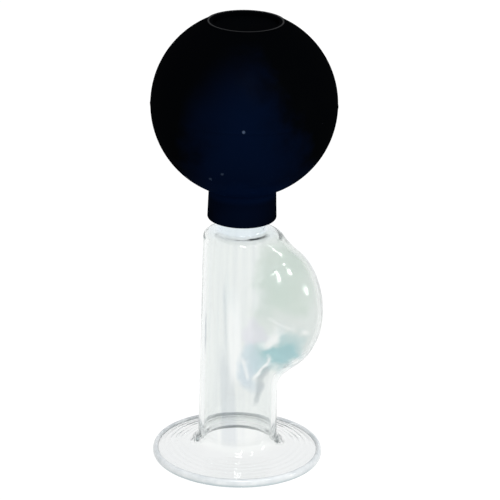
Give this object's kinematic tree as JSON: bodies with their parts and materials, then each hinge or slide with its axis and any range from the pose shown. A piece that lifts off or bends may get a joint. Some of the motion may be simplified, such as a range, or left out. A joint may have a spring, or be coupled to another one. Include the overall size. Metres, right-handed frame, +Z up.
{
  "type": "glass breast reliever",
  "caption": "Manual breast reliever: clear blown-glass barrel with a round flange, side reservoir and neck, and a hollow rubber squeeze ball whose collar grips the neck.",
  "frame": {"origin": "on the barrel's axis, in the plane of the flange rim's flat underside, which the part stands on", "axes": "+Z up the barrel's axis to the crown of the ball, +X from the barrel towards the side reservoir"},
  "size_m": [0.065, 0.065, 0.1623],
  "materials": {
    "clear_glass": "fire-polished, clear",
    "bulb_rubber": "smooth moulded rubber with a dull sheen, blue-black"
  },
  "bodies": {
    "glass": {"glass_body": "clear_glass"},
    "bulb": {"bulb_collar": "bulb_rubber", "bulb_ball": "bulb_rubber"},
    "crown": {"crown_plug": "bulb_rubber"}
  },
  "joints": [
    {"name": "bulb_pull_off", "type": "slide", "parent": "glass", "child": "bulb", "axis": [0, 0, 1], "range_m": [0, 0.03]},
    {"name": "bulb_squeeze", "type": "slide", "parent": "bulb", "child": "crown", "axis": [0, 0, -1], "range_m": [0, 0.024], "stiffness_N_per_m": 400, "deforming": ["bulb_ball"]}
  ]
}
